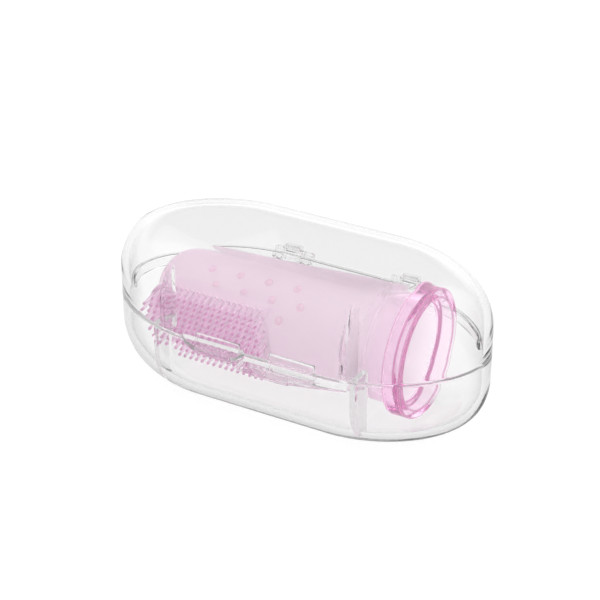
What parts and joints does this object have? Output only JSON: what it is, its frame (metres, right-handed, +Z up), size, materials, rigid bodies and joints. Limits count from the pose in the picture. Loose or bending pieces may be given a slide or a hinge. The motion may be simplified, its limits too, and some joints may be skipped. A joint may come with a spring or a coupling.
{
  "type": "finger toothbrush with travel case",
  "caption": "Soft silicone fingertip toothbrush with a padded bristle field, massage nubs and a thick mouth collar, stored in a clear hinged travel case.",
  "frame": {"origin": "centre of the base shell's flat rest face", "axes": "+X towards the open mouth of the brush, -Y towards the thumb tabs, +Z up through the lid"},
  "size_m": [0.074, 0.0431, 0.0295],
  "materials": {
    "clear_case": "clear polished injection-moulded plastic",
    "hinge_pin": "clear smooth plastic",
    "silicone": "translucent satin silicone",
    "bristle_silicone": "translucent satin silicone"
  },
  "bodies": {
    "base": {"base_shell": "clear_case", "hinge_pin_left": "hinge_pin", "hinge_pin_right": "hinge_pin"},
    "lid": {"lid_shell": "clear_case"},
    "brush": {"finger_sleeve": "silicone", "collar_ring": "silicone", "bristle_pad": "silicone", "bristles": "bristle_silicone", "massage_nubs": "bristle_silicone"}
  },
  "joints": [
    {"name": "lid_hinge", "type": "hinge", "parent": "base", "child": "lid", "pos_m": [0, 0.02, 0.0143], "axis": [-1, 0, 0], "range_deg": [0, 175]},
    {"name": "brush_lift", "type": "slide", "parent": "base", "child": "brush", "axis": [0, 0, 1], "range_m": [0, 0.0215]}
  ],
  "couplings": [
    {"joint": "brush_lift", "follows": "lid_hinge", "m_per_rad": 0.007}
  ]
}
